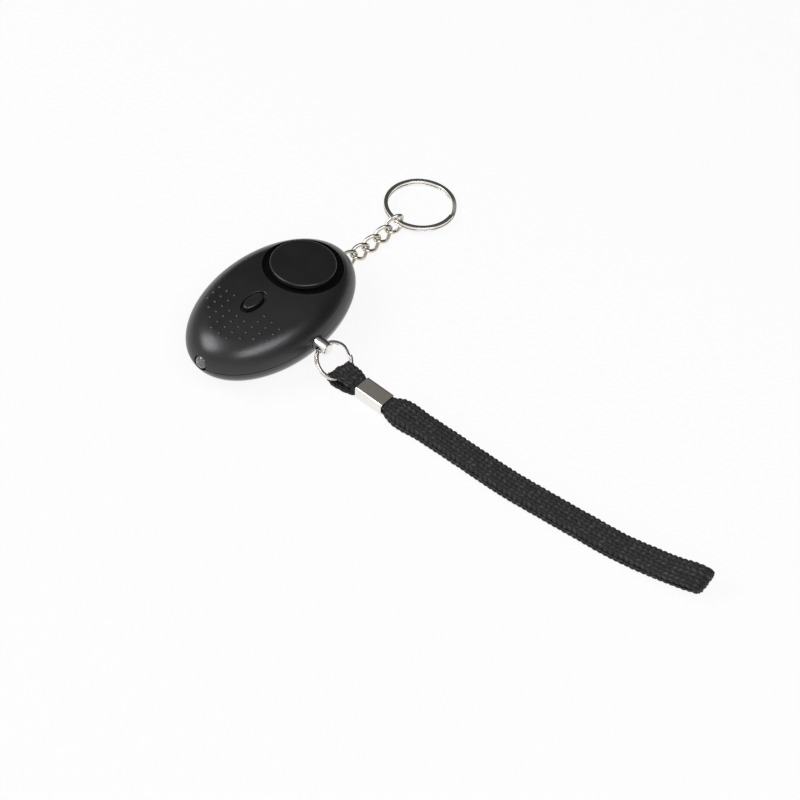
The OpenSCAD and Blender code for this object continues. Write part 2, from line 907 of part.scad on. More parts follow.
module boost_coil_core() {
    color([0.22, 0.21, 0.21])
        translate([coil_x, coil_y, board_top])
            rotate_extrude()
                union() {
                    square([coil_d / 4, coil_h]);
                    square([coil_d / 2, coil_flange]);
                    translate([0, coil_h - coil_flange])
                        square([coil_d / 2, coil_flange]);
                }
}

module boost_coil_winding() {
    color([0.66, 0.38, 0.20])
        translate([coil_x, coil_y, board_top + coil_flange + seat_gap])
            difference() {
                cylinder(d = coil_wound_d, h = coil_h - 2 * coil_flange - 2 * seat_gap);
                translate([0, 0, -open])
                    cylinder(d = coil_d / 2 + 2 * seat_gap, h = coil_h);
            }
}

module driver_chip() {
    body = [5, 3.9, 1.5];
    lift = 0.1;
    leg_pitch = 1.27;
    leg = [0.4, 1, 0.4];
    leg_in = 0.2;
    color([0.12, 0.12, 0.13])
        translate([chip_x, chip_y, board_top]) {
            translate([-body[0] / 2, -body[1] / 2, lift])
                cube(body);
            for (k = [-1.5 : 1.5], s = [-1, 1])
                translate([leg_pitch * k - leg[0] / 2, s * (body[1] / 2 - leg_in), 0])
                    mirror([0, s < 0 ? 1 : 0, 0])
                        cube(leg);
        }
}

module transistor() {
    body_d = 4.6;
    flat = 1.3;
    color([0.12, 0.12, 0.13])
        translate([transistor_x, transistor_y, board_top])
            intersection() {
                cylinder(d = body_d, h = body_d);
                translate([-body_d / 2, -body_d / 2, 0])
                    cube([body_d, body_d / 2 + flat, body_d]);
            }
}

module piezo_diaphragm() {
    color(brass)
        siren_disc(piezo_d, piezo_top - piezo_t, piezo_top);
}

module piezo_ceramic() {
    color([0.86, 0.85, 0.80])
        siren_disc(ceramic_d, piezo_top - piezo_t - ceramic_t, piezo_top - piezo_t);
}

module piezo_wires() {
    under = siren_z + (piezo_top - piezo_t) / cos(siren_tilt)
        - (sounder_wire_x - siren_x + sounder_wire_d / 2) * tan(siren_tilt);
    color([0.75, 0.12, 0.10])
        for (y = sounder_wire_y)
            translate([sounder_wire_x, y, board_top])
                cylinder(d = sounder_wire_d, h = under - board_top - seat_gap);
}

module button_cell(i) {
    rim = 0.5;
    color([0.80, 0.80, 0.79])
        translate([cell_x, -stack / 2 + i * cell_t, cell_z])
            rotate([-90, 0, 0])
                union() {
                    cylinder(d = cell_d, h = cell_t - rim);
                    cylinder(d = cell_cap_d, h = cell_t);
                }
}

// Sheet contact with a dimple toward the cells and a tail on the board; side is +1 or -1
module cell_contact(side) {
    y = side > 0 ? contact_face : -contact_face - contact_t;
    tail_h = 2;
    color(nickel) {
        translate([cell_x - contact_w / 2, y, cell_z - contact_h / 2])
            cube([contact_w, contact_t, contact_h]);
        translate([board_x1 - 2, y, board_top])
            cube([cell_x - board_x1 + 2, contact_t, tail_h]);
        translate([cell_x, side * (contact_face + contact_t / 2), cell_z])
            rotate([side * 90, 0, 0])
                cylinder(d1 = 5, d2 = 3, h = contact_dimple + contact_t / 2 - seat_gap / 2);
    }
}

module cell_contact_plus() {
    cell_contact(1);
}

module cell_contact_minus() {
    cell_contact(-1);
}

module pin_switch_block() {
    color([0.16, 0.16, 0.17])
        difference() {
            translate([pin_x - block_x / 2, block_y0, board_top])
                cube([block_x, block_y1 - block_y0, block_h]);
            translate([pin_x, block_y0 - open, pin_z])
                rotate([-90, 0, 0])
                    cylinder(d = shaft_d + 4 * fit_gap, h = block_y1 - block_y0);
            for (s = [-1, 1])
                translate([
                    pin_x + s * (shaft_d / 2 + leaf_slot / 2) - leaf_slot / 2,
                    block_y0 + block_wall,
                    board_top - open
                ])
                    cube([leaf_slot, block_y1 - block_y0 - 2 * block_wall, block_h + 2 * open]);
        }
}

module pin_switch_leaves() {
    color(brass)
        for (s = [-1, 1])
            translate([
                pin_x + s * (shaft_d / 2 + leaf_slot / 2) - leaf_t / 2,
                block_y0 + block_wall + fit_gap,
                board_top
            ])
                cube([
                    leaf_t,
                    block_y1 - block_y0 - 2 * block_wall - 2 * fit_gap,
                    block_h - leaf_below
                ]);
}

module pull_pin() {
    bevel = 0.3;
    color(nickel)
        difference() {
            translate([pin_x, pin_end, pin_z])
                rotate([-90, 0, 0])
                    rotate_extrude()
                        polygon([
                            [0, 0],
                            [pin_d / 2 - bevel, 0],
                            [pin_d / 2, bevel],
                            [pin_d / 2, pin_step - pin_end],
                            [shaft_d / 2, pin_step - pin_end],
                            [shaft_d / 2, pin_tip - pin_end - shaft_d / 4],
                            [shaft_d / 4, pin_tip - pin_end],
                            [0, pin_tip - pin_end]
                        ]);
            translate([pin_x - pin_d, eye_y, pin_z])
                rotate([0, 90, 0])
                    cylinder(d = eye_d, h = 2 * pin_d);
        }
}

module pin_ring() {
    color(nickel)
        translate([pin_x, eye_y, pin_z])
            rotate([pin_ring_slope, 0, 0])
                translate([0, eye_bow - ring_r, 0])
                    split_ring(ring_r, ring_pitch, ring_wire_w, ring_wire_h, ring_jog);
}

// Rounded rectangle with true round corners
module round_rect(w, h, r) {
    square([w - 2 * r, h], center = true);
    square([w, h - 2 * r], center = true);
    for (sx = [-1, 1], sy = [-1, 1])
        translate([sx * (w / 2 - r), sy * (h / 2 - r)])
            circle(r = r);
}

module strap_ferrule() {
    color(nickel)
        translate([0, ferrule_y + ferrule_l / 2, ferrule_z])
            rotate([90, 0, 0])
                linear_extrude(ferrule_l)
                    difference() {
                        round_rect(ferrule_w, ferrule_h, ferrule_r);
                        round_rect(
                            ferrule_w - 2 * ferrule_t,
                            ferrule_h - 2 * ferrule_t,
                            ferrule_r - ferrule_t / 2
                        );
                    }
}

module wrist_strap() {
    rings = len(strap_route);
    points = [
        for (i = [0 : rings - 1])
            each strap_ring(i)
    ];
    color(strap_black)
        polyhedron(
            points,
            concat(band_faces(rings, strap_sides, false), cap_faces(rings, strap_sides))
        );
}

module anchor_pin() {
    color(steel)
        translate([anchor_x, anchor_l / 2, anchor_z])
            rotate([90, 0, 0])
                cylinder(d = anchor_d, h = anchor_l);
}

module key_ring() {
    color(nickel)
        translate(key_near)
            rotate([0, key_tilt, 0])
                translate([key_r, 0, 0])
                    split_ring(key_r, key_pitch, key_wire_w, key_wire_h, key_jog);
}

top_shell();
bottom_shell();
speaker_cap();
case_screws();
torch_button();
tact_switch();
tact_plunger();
led_lens();
led_leads();
circuit_board();
board_screws();
boost_coil_core();
boost_coil_winding();
driver_chip();
transistor();
piezo_diaphragm();
piezo_ceramic();
piezo_wires();
button_cell(0);  // button_cell_1
button_cell(1);  // button_cell_2
button_cell(2);  // button_cell_3
cell_contact_plus();
cell_contact_minus();
pin_switch_block();
pin_switch_leaves();
pull_pin();
pin_ring();
strap_ferrule();
wrist_strap();
anchor_pin();
chain_link(0);  // chain_link_1
chain_link(1);  // chain_link_2
chain_link(2);  // chain_link_3
chain_link(3);  // chain_link_4
chain_link(4);  // chain_link_5
chain_link(5);  // chain_link_6
key_ring();
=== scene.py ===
"""Personal safety alarm: finishes, soft strap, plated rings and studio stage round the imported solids."""

import json
import math

import bmesh
import bpy
import numpy as np
from mathutils import Matrix, Vector
from mathutils.bvhtree import BVHTree

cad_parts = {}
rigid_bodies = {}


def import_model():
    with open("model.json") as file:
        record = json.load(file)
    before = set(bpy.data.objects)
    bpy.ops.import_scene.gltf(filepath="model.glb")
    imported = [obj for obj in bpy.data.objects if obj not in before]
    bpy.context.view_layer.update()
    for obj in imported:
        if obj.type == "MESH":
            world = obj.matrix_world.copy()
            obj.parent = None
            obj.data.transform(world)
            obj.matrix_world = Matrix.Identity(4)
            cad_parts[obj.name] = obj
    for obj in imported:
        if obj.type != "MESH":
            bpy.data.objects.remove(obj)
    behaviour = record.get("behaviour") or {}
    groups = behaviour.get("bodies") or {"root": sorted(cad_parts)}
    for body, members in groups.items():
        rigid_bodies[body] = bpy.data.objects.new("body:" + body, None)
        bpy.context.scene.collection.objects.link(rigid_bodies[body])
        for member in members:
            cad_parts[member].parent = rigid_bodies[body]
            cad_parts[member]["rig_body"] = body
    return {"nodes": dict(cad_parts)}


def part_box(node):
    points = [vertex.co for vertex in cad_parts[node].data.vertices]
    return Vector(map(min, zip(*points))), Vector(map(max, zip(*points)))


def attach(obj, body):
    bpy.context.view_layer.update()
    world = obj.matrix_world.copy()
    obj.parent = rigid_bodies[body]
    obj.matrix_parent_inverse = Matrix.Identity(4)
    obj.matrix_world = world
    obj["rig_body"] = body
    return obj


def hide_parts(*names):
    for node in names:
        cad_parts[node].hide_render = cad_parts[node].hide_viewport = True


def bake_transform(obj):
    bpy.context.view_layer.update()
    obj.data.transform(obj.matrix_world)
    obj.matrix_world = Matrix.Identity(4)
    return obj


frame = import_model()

bl_info = {
    "name": "Personal safety alarm",
    "version": (1, 0, 0),
    "blender": (4, 5, 0),
    "location": "3D View > Sidebar > Alarm",
    "description": "Dresses a pocket alarm: moulded shells, plated fittings, braided wrist strap",
    "category": "Object",
}

MM = 0.001
# Points nearer than this are one point
MERGE = 0.002 * MM

# Camera of the picture: where it looks, from which side, and how far away it stands
LOOK_AT = (5.74 * MM, -50.5 * MM, 0.0)
LOOK_FROM = -47.7
LOOK_DOWN = 50.5
LOOK_DISTANCE = 0.95
LENS_MM = 135
SENSOR_MM = 36

# Softboxes: name, degrees round from +X, degrees up, width, depth, watts, colour
SOFTBOX_REACH = 0.8
SOFTBOX_AIM = (0.0, -20.0 * MM, 10 * MM)
SOFTBOXES = (
    ("softbox_left", 128, 50, 0.40, 0.34, 2.7, "fcfaff"),
    ("softbox_right", -106, 58, 0.56, 0.30, 2.9, "fcf9ff"),
)

# Studio floor: half its width and the share of white of its own, and its drop in millimetres
FLOOR_HALF = 3.0
FLOOR_WHITE = 0.9
FLOOR_DROP = 0.1

# Strap route in millimetres: x, y, z, width and thickness of the flat braid. It starts in the
# ferrule, goes round the small ring and back through the ferrule to the fold, and ends in the ferrule.
RING_FAR = (-0.6, -32.841, 3.549)
LOOP_R = 2.45
LOOP_X = -1.2
LOOP_TURN = -9.0
LOOP_T = 2.2
STRAP_IN = [
    (0.0, -44.5, 3.48, 5.3, 1.7),
    (0.0, -39.6, 3.48, 5.5, 1.7),
    (-0.6, -36.6, 4.9, 7.4, 1.9),
]
STRAP_CRIMP = [
    (-0.6, -36.8, 1.35, 7.4, 1.9),
    (0.0, -39.8, 1.52, 5.5, 1.7),
    (0.0, -45.0, 1.52, 5.3, 1.7),
    (0.0, -50.3, 1.52, 5.5, 1.7),
]
# Plan of the doubled strap, from the ferrule to the fold
STRAP_PLAN = [
    (0.0, -54.3),
    (0.64, -66.3),
    (1.2, -84.3),
    (1.65, -99.3),
    (2.75, -111.3),
    (4.35, -126.3),
    (5.95, -140.3),
    (8.0, -150.8),
    (9.75, -158.3),
]
STRAP_FOLD = [
    (12.0, -165.5, 1.7),
    (12.75, -167.5, 2.4),
    (12.95, -168.2, 3.5),
    (12.75, -167.5, 4.6),
    (12.1, -165.5, 5.2),
]
STRAP_BACK = [
    (0.0, -50.3, 3.48, 5.5, 1.7),
    (0.0, -45.5, 3.48, 5.3, 1.7),
]
PLY_W = 8.0
PLY_T = 2.8
PLY_LOW = 1.7
PLY_HIGH = 4.3
# The upper ply lifts off the lower one toward the fold
LIFT_FROM = -128.0
LIFT_TO = -165.0
LIFT = 0.7
# Near the fold the strap rolls onto its near edge, in degrees
ROLL = 22.0
ROLL_FROM = -140.0
ROLL_TO = -166.0

# Grip dots: place of the first column, spacing along and across, columns, rows to each side, the
# column where the button begins, and how deep a head sits in the crown
DOT_X = -23.4
DOT_STEP = (2.75, 3.3)
DOT_COLUMNS = 6
DOT_ROWS = 4
DOT_BUTTON_COLUMN = 4
DOT_SINK = 0.22

# Siren pocket: its radius and depth in millimetres, and its lean in degrees
POCKET_R = 13.2
POCKET_DEPTH = 3.6
SIREN_LEAN = 6.5


class AlarmSizes(bpy.types.PropertyGroup):
    """Sizes that a user may change without touching the solids."""

    braid_pitch: bpy.props.FloatProperty(
        name="Stitch length",
        description="Length of one stitch of the braid along the strap",
        default=1.85 * MM,
        unit="LENGTH",
    )
    braid_column: bpy.props.FloatProperty(
        name="Stitch width",
        description="Width of one column of stitches",
        default=1.36 * MM,
        unit="LENGTH",
    )
    braid_depth: bpy.props.FloatProperty(
        name="Stitch depth",
        description="How far the stitches stand out of the braid",
        default=0.62 * MM,
        unit="LENGTH",
    )
    loop_width: bpy.props.FloatProperty(
        name="Loop width",
        description="Width of the strap where it goes round the small ring",
        default=8.2 * MM,
        unit="LENGTH",
    )
    dot_width: bpy.props.FloatProperty(
        name="Grip dot width",
        description="Width of a rounded grip dot",
        default=1.04 * MM,
        unit="LENGTH",
    )
    wire_round: bpy.props.FloatProperty(
        name="Ring edge",
        description="Rounding of the flat wire of the split rings",
        default=0.16 * MM,
        unit="LENGTH",
    )


class AlarmColours(bpy.types.PropertyGroup):
    """Colours of the finishes, as sRGB hex values."""

    case_hex: bpy.props.StringProperty(
        name="Case", description="Moulded plastic of the case", default="191819"
    )
    strap_hex: bpy.props.StringProperty(
        name="Strap", description="Polyester yarn of the strap", default="121213"
    )
    nickel_hex: bpy.props.StringProperty(
        name="Nickel", description="Bright nickel of rings and ferrule", default="f1eee9"
    )
    chain_hex: bpy.props.StringProperty(
        name="Chain", description="Nickel of the chain, a little dull", default="cfcabd"
    )
    chrome_hex: bpy.props.StringProperty(
        name="Chrome", description="Chrome of the pull pin", default="f3f2ec"
    )


def linear(code):
    """Linear colour of an sRGB hex value, with full alpha."""
    parts = [int(code[i : i + 2], 16) / 255 for i in (0, 2, 4)]
    return (
        *(c / 12.92 if c <= 0.04045 else ((c + 0.055) / 1.055) ** 2.4 for c in parts),
        1.0,
    )


def add(tree, kind, inputs=None, stops=(), **settings):
    """One shader node with its settings; an input is a value or the socket that feeds it."""
    made = tree.nodes.new(kind)
    for name, value in settings.items():
        setattr(made, name, value)
    for socket, value in (inputs or {}).items():
        if isinstance(value, bpy.types.NodeSocket):
            tree.links.new(value, made.inputs[socket])
        else:
            made.inputs[socket].default_value = value
    for number, (place, code) in enumerate(stops):
        band = made.color_ramp.elements
        element = band[number] if number < 2 else band.new(place)
        element.position = place
        element.color = linear(code)
    return made


def fresh_material(name):
    """Empty node material with its output node."""
    made = bpy.data.materials.new(name)
    made.use_nodes = True
    made.node_tree.nodes.clear()
    return made, made.node_tree, made.node_tree.nodes.new("ShaderNodeOutputMaterial")


# Paler tone that the moulded plastic drifts to
PALER_ABS = "1e1d1e"


def moulded_abs(name, colour, roughness):
    """ABS moulded in a spark-eroded tool: a fine satin grain that breaks up the highlights."""
    made, tree, out = fresh_material(name)
    place = add(tree, "ShaderNodeTexCoord").outputs["Object"]
    # The real grain is about 0.1 mm; it is drawn at 0.3 mm so that it shows
    grain = add(
        tree,
        "ShaderNodeTexNoise",
        {"Vector": place, "Scale": 1 / (0.3 * MM), "Detail": 3.0, "Roughness": 0.6},
    )
    drift = add(
        tree,
        "ShaderNodeTexNoise",
        {"Vector": place, "Scale": 1 / (9 * MM), "Detail": 2.0},
    )
    rough = add(
        tree,
        "ShaderNodeMapRange",
        {"Value": drift.outputs["Fac"], "To Min": roughness - 0.04, "To Max": roughness + 0.04},
    )
    tone = add(
        tree,
        "ShaderNodeValToRGB",
        {"Fac": drift.outputs["Fac"]},
        stops=[(0.3, colour), (0.7, PALER_ABS)],
    )
    bump = add(
        tree,
        "ShaderNodeBump",
        {"Height": grain.outputs["Fac"], "Strength": 0.12, "Distance": 0.05 * MM},
    )
    skin = add(
        tree,
        "ShaderNodeBsdfPrincipled",
        {
            "Base Color": tone.outputs["Color"],
            "Roughness": rough.outputs["Result"],
            "IOR": 1.56,
            "Normal": bump.outputs["Normal"],
        },
    )
    tree.links.new(skin.outputs["BSDF"], out.inputs["Surface"])
    return made


def painted_light_abs(name, colour, roughness, gloss):
    """Same plastic with painted light: near black and matt as painted shade in the siren pocket, lighter
    and glossier as painted highlight on the grip dots.
    """
    made, tree, out = fresh_material(name)
    place = add(tree, "ShaderNodeTexCoord").outputs["Object"]
    grain = add(
        tree,
        "ShaderNodeTexNoise",
        {"Vector": place, "Scale": 1 / (0.3 * MM), "Detail": 3.0},
    )
    rough = add(
        tree,
        "ShaderNodeMapRange",
        {"Value": grain.outputs["Fac"], "To Min": roughness - 0.05, "To Max": roughness + 0.05},
    )
    skin = add(
        tree,
        "ShaderNodeBsdfPrincipled",
        {
            "Base Color": linear(colour),
            "Roughness": rough.outputs["Result"],
            "IOR": 1.56,
            "Specular IOR Level": gloss,
        },
    )
    tree.links.new(skin.outputs["BSDF"], out.inputs["Surface"])
    return made


def plated(name, colour, roughness, scratch):
    """Bright plating: mirror-like, with faint handling marks and a slight unevenness."""
    made, tree, out = fresh_material(name)
    place = add(tree, "ShaderNodeTexCoord").outputs["Object"]
    haze = add(
        tree,
        "ShaderNodeTexNoise",
        {"Vector": place, "Scale": 1 / (1.6 * MM), "Detail": 4.0},
    )
    fine = add(
        tree,
        "ShaderNodeTexNoise",
        {"Vector": place, "Scale": 1 / (0.5 * MM), "Detail": 2.0, "Distortion": 1.5},
    )
    rough = add(
        tree,
        "ShaderNodeMapRange",
        {
            "Value": haze.outputs["Fac"],
            "From Min": 0.35,
            "From Max": 0.7,
            "To Min": roughness,
            "To Max": roughness + 0.1,
        },
    )
    bump = add(
        tree,
        "ShaderNodeBump",
        {"Height": fine.outputs["Fac"], "Strength": scratch, "Distance": 0.02 * MM},
    )
    skin = add(
        tree,
        "ShaderNodeBsdfPrincipled",
        {
            "Base Color": linear(colour),
            "Metallic": 1.0,
            "Roughness": rough.outputs["Result"],
            "Normal": bump.outputs["Normal"],
        },
    )
    tree.links.new(skin.outputs["BSDF"], out.inputs["Surface"])
    return made


def braided_polyester(colour):
    """Textured polyester yarn: matt, soft at the edges, with fine filaments along each stitch, painted
    shade in its gaps and painted highlight on its stitch tops.
    """
    made, tree, out = fresh_material("braided_black_polyester")
    lay = add(tree, "ShaderNodeUVMap", uv_map="braid").outputs["UV"]
    # The stitch value is height times own shade; as colour it paints shade in the gaps and highlight on
    # the tops
    stitch = add(tree, "ShaderNodeAttribute", attribute_name="stitch").outputs["Fac"]
    # The map is in millimetres along and around; filaments are drawn 0.16 mm wide to show
    slant = add(
        tree,
        "ShaderNodeMapping",
        {"Vector": lay, "Rotation": (0.0, 0.0, math.radians(24)), "Scale": (1.2, 6.0, 1.0)},
    )
    filament = add(
        tree, "ShaderNodeTexNoise", {"Vector": slant.outputs["Vector"], "Scale": 1.0, "Detail": 3.0}
    )
    # Height and own shade of the stitch and its filaments together give the tone: painted shade keeps the
    # gaps black and painted highlight lightens the stitch tops
    lit = add(
        tree, "ShaderNodeMath", {0: stitch, 1: filament.outputs["Fac"]}, operation="MULTIPLY"
    )
    tone = add(
        tree,
        "ShaderNodeValToRGB",
        {"Fac": lit.outputs["Value"]},
        stops=[(0.06, "020202"), (0.75, "4b4a4c"), (0.34, colour)],
    )
    bump = add(
        tree,
        "ShaderNodeBump",
        {"Height": filament.outputs["Fac"], "Strength": 0.5, "Distance": 0.12 * MM},
    )
    skin = add(
        tree,
        "ShaderNodeBsdfPrincipled",
        {
            "Base Color": tone.outputs["Color"],
            "Roughness": 0.7,
            "IOR": 1.5,
            "Sheen Weight": 0.05,
            "Sheen Roughness": 0.5,
            "Normal": bump.outputs["Normal"],
        },
    )
    tree.links.new(skin.outputs["BSDF"], out.inputs["Surface"])
    return made


def cast_epoxy():
    """Clear epoxy of a lamp: glassy and a little milky, with a faint ripple from the casting cup."""
    made, tree, out = fresh_material("clear_cast_epoxy")
    place = add(tree, "ShaderNodeTexCoord").outputs["Object"]
    ripple = add(
        tree,
        "ShaderNodeTexNoise",
        {"Vector": place, "Scale": 1 / (2.2 * MM), "Detail": 1.0},
    )
    bump = add(
        tree,
        "ShaderNodeBump",
        {"Height": ripple.outputs["Fac"], "Strength": 0.1, "Distance": 0.1 * MM},
    )
    skin = add(
        tree,
        "ShaderNodeBsdfPrincipled",
        {
            "Base Color": linear("f3f5f6"),
            "Roughness": 0.03,
            "IOR": 1.53,
            "Transmission Weight": 0.88,
            "Normal": bump.outputs["Normal"],
        },
    )
    tree.links.new(skin.outputs["BSDF"], out.inputs["Surface"])
    return made


def plain_finish(name, codes, metallic, roughness, grain_mm, bump_strength):
    """Finish of an inner piece: two tones that drift into each other over a fine grain."""
    made, tree, out = fresh_material(name)
    place = add(tree, "ShaderNodeTexCoord").outputs["Object"]
    grain = add(
        tree,
        "ShaderNodeTexNoise",
        {"Vector": place, "Scale": 1 / (grain_mm * MM), "Detail": 4.0},
    )
    tone = add(
        tree,
        "ShaderNodeValToRGB",
        {"Fac": grain.outputs["Fac"]},
        stops=[(0.35, codes[0]), (0.65, codes[1])],
    )
    rough = add(
        tree,
        "ShaderNodeMapRange",
        {"Value": grain.outputs["Fac"], "To Min": roughness - 0.08, "To Max": roughness + 0.08},
    )
    bump = add(
        tree,
        "ShaderNodeBump",
        {"Height": grain.outputs["Fac"], "Strength": bump_strength, "Distance": 0.05 * MM},
    )
    skin = add(
        tree,
        "ShaderNodeBsdfPrincipled",
        {
            "Base Color": tone.outputs["Color"],
            "Metallic": metallic,
            "Roughness": rough.outputs["Result"],
            "Normal": bump.outputs["Normal"],
        },
    )
    tree.links.new(skin.outputs["BSDF"], out.inputs["Surface"])
    return made


def finish(name):
    """A finish by its short name, made once and shared."""
    made = FINISHES.get(name)
    if made is None:
        made = FINISHES[name] = MAKERS[name]()
    return made


def colours():
    """Colours set in the panel."""
    return bpy.context.scene.alarm_colours


def sizes():
    """Sizes set in the panel."""
    return bpy.context.scene.alarm_sizes


FINISHES = {}
MAKERS = {
    "abs": lambda: moulded_abs("moulded_black_abs", colours().case_hex, 0.3),
    "smooth_abs": lambda: moulded_abs("smooth_black_abs", colours().case_hex, 0.16),
    # Near black, matt and weakly reflecting: painted shade for the deep siren pocket
    "pocket_shade_abs": lambda: painted_light_abs("painted_shade_black_abs", "030303", 0.75, 0.12),
    # Lighter colour and stronger reflection than the case: painted highlight on the grip dots, on a
    # glossier surface
    "dot_highlight_abs": lambda: painted_light_abs("painted_highlight_dot_abs", "2a2a2b", 0.16, 0.6),
    "nickel": lambda: plated("bright_nickel_plate", colours().nickel_hex, 0.08, 0.03),
    "dull_nickel": lambda: plated("dull_nickel_plate", colours().chain_hex, 0.14, 0.03),
    "chrome": lambda: plated("turned_chrome_plate", colours().chrome_hex, 0.05, 0.04),
    "braid": lambda: braided_polyester(colours().strap_hex),
    "epoxy": cast_epoxy,
    "zinc": lambda: plain_finish("zinc_plated_steel", ("a9acae", "c3c5c6"), 1.0, 0.34, 0.8, 0.2),
    "silver": lambda: plain_finish("silvered_lead_frame", ("c9c9c6", "e4e4e1"), 1.0, 0.22, 0.6, 0.1),
    "brass": lambda: plain_finish("rolled_brass", ("b08a45", "cfa860"), 1.0, 0.3, 0.7, 0.15),
    "copper": lambda: plain_finish("enamelled_copper", ("8a4a22", "b3672f"), 0.9, 0.32, 0.3, 0.4),
    "ferrite": lambda: plain_finish("sintered_ferrite", ("26231f", "34302b"), 0.0, 0.7, 0.3, 0.4),
    "ceramic": lambda: plain_finish("silvered_ceramic", ("c9c6bb", "dedbd0"), 0.2, 0.5, 0.5, 0.2),
    "board": lambda: plain_finish("solder_masked_board", ("0d4020", "14552c"), 0.0, 0.4, 1.4, 0.2),
    "phenolic": lambda: plain_finish("moulded_phenolic", ("141415", "1f1f20"), 0.0, 0.5, 0.4, 0.3),
    "wire": lambda: plain_finish("red_wire_insulation", ("9d1711", "b8241b"), 0.0, 0.4, 0.9, 0.2),
}


def new_piece(name, mesh, finish_name, body, slot, *nodes):
    """Object at the origin with its finish, riding on a body and standing for the named solids."""
    piece = bpy.data.objects.new(name, mesh)
    bpy.context.scene.collection.objects.link(piece)
    mesh.materials.clear()
    mesh.materials.append(finish(finish_name))
    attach(piece, body)
    if nodes:
        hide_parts(*nodes)
    return piece


def solid_copy(node, sharp_degrees=32.0, quads=False):
    """Mesh of a solid with its triangles joined, smooth but for its sharp edges."""
    mesh = frame["nodes"][node].data.copy()
    mesh.name = node + "_dressed"
    bm = bmesh.new()
    bm.from_mesh(mesh)
    bmesh.ops.remove_doubles(bm, verts=bm.verts[:], dist=MERGE)
    bmesh.ops.dissolve_degenerate(bm, edges=bm.edges[:], dist=0.0005 * MM)
    if quads:
        bmesh.ops.join_triangles(
            bm,
            faces=bm.faces[:],
            angle_face_threshold=math.radians(35),
            angle_shape_threshold=math.radians(70),
        )
    limit = math.radians(sharp_degrees)
    for face in bm.faces:
        face.smooth = True
    for edge in bm.edges:
        edge.smooth = len(edge.link_faces) == 2 and edge.calc_face_angle() < limit
    bm.to_mesh(mesh)
    bm.free()
    return mesh


def even_shading(piece):
    """Lets the large faces lead the shading, so that flats look flat beside their rounded edges."""
    shading = piece.modifiers.new("even_shading", "WEIGHTED_NORMAL")
    shading.keep_sharp = True
    shading.weight = 90


def dressed(node, finish_name, slot, sharp_degrees=32.0):
    """A solid kept as it is, with joined faces, even shading and a real finish."""
    body = frame["nodes"][node]["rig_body"]
    piece = new_piece(
        node + "_skin", solid_copy(node, sharp_degrees), finish_name, body, slot, node
    )
    even_shading(piece)
    return piece


def spline(rows, step):
    """Smooth line through the rows, which may hold further values beside the place."""
    p = np.array(rows, float)
    reach = np.concatenate(
        [[0], np.cumsum(np.linalg.norm(np.diff(p[:, :3], axis=0), axis=1))]
    )
    slope = np.gradient(p, reach, axis=0)
    at = np.linspace(0, reach[-1], int(reach[-1] / step) + 1)
    i = np.clip(np.searchsorted(reach, at) - 1, 0, len(p) - 2)
    span = (reach[i + 1] - reach[i])[:, None]
    t = (at - reach[i])[:, None] / span
    return (
        (2 * t**3 - 3 * t**2 + 1) * p[i]
        + (t**3 - 2 * t**2 + t) * span * slope[i]
        + (3 * t**2 - 2 * t**3) * p[i + 1]
        + (t**3 - t**2) * span * slope[i + 1]
    )


def even(rows, step):
    """Rows spaced evenly along the line, at about the step, and how far along each one is."""
    reach = np.concatenate(
        [[0], np.cumsum(np.linalg.norm(np.diff(rows[:, :3], axis=0), axis=1))]
    )
    at = np.linspace(0, reach[-1], int(round(reach[-1] / step)) + 1)
    return np.stack([np.interp(at, reach, column) for column in rows.T], axis=1), at


